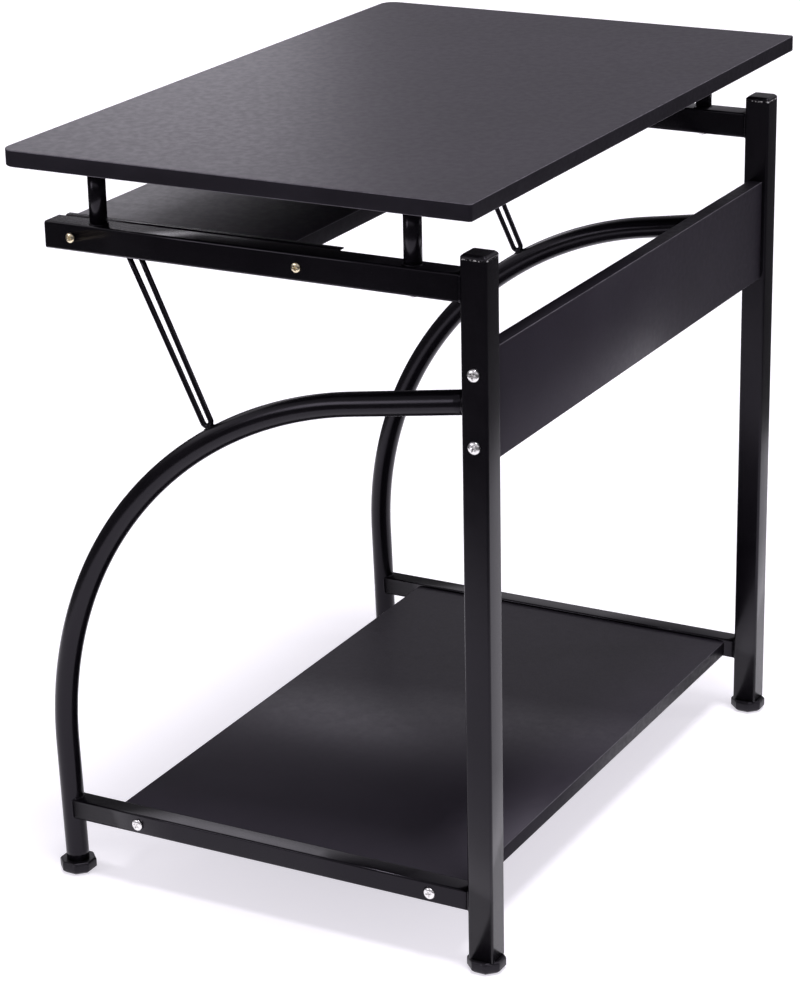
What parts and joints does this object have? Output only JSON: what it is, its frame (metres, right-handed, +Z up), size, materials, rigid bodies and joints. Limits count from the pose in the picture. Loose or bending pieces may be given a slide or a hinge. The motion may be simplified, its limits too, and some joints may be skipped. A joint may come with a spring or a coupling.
{
  "type": "computer desk",
  "caption": "Small computer desk with steel side frames on curved front legs, a raised top, a pull-out keyboard tray, a back panel and a lower shelf.",
  "frame": {"origin": "on the floor, in the middle of the desk's footprint", "axes": "+Z up, -Y towards the user who sits at the desk, X along the desk's width"},
  "size_m": [0.716, 0.473, 0.72],
  "materials": {
    "frame_paint": "semi-gloss black powder coat",
    "board_laminate": "satin charcoal laminate on particle board",
    "edge_band": "satin charcoal edge band",
    "black_plastic": "matte black moulded plastic",
    "zinc_screws": "bright zinc plate",
    "zinc_fittings": "dull zinc plate",
    "yellow_zinc": "yellow zinc plate",
    "roller_nylon": "off-white nylon"
  },
  "bodies": {
    "frame": {"post_right": "frame_paint", "post_left": "frame_paint", "top_rail_right": "frame_paint", "top_rail_left": "frame_paint", "curved_leg_right": "frame_paint", "curved_leg_left": "frame_paint", "bottom_rail_right": "frame_paint", "bottom_rail_left": "frame_paint", "brace_right": "frame_paint", "brace_left": "frame_paint", "risers_right": "frame_paint", "risers_left": "frame_paint", "post_caps": "black_plastic", "rail_plugs": "black_plastic", "rear_feet": "black_plastic", "front_feet": "black_plastic", "desktop": "board_laminate", "desktop_edging": "edge_band", "desktop_inserts": "zinc_fittings", "desktop_bolts": "zinc_screws", "back_panel": "board_laminate", "back_panel_edging": "edge_band", "panel_bolts": "zinc_screws", "panel_dowels": "zinc_fittings", "shelf": "board_laminate", "shelf_edging": "edge_band", "shelf_screws": "zinc_screws", "fixed_runner_right": "frame_paint", "fixed_runner_left": "frame_paint", "runner_screws": "yellow_zinc", "front_axles": "zinc_fittings"},
    "tray": {"keyboard_tray": "board_laminate", "tray_edging": "edge_band", "tray_runner_right": "frame_paint", "tray_runner_left": "frame_paint", "tray_screws": "zinc_screws", "rear_axles": "zinc_fittings"},
    "front_rollers": {"front_rollers": "roller_nylon"},
    "rear_rollers": {"rear_rollers": "roller_nylon"}
  },
  "joints": [
    {"name": "tray_slide", "type": "slide", "parent": "frame", "child": "tray", "axis": [0, -1, 0], "range_m": [0, 0.21]},
    {"name": "front_roller_turn", "type": "hinge", "parent": "frame", "child": "front_rollers", "pos_m": [0, -0.187, 0.63595], "axis": [1, 0, 0], "range_deg": [-5, 1345]},
    {"name": "rear_roller_turn", "type": "hinge", "parent": "tray", "child": "rear_rollers", "pos_m": [0, 0.063, 0.63555], "axis": [1, 0, 0], "range_deg": [-5, 1345]}
  ],
  "couplings": [
    {"joint": "front_roller_turn", "follows": "tray_slide", "rad_per_m": 111.11},
    {"joint": "rear_roller_turn", "follows": "tray_slide", "rad_per_m": 111.11}
  ]
}
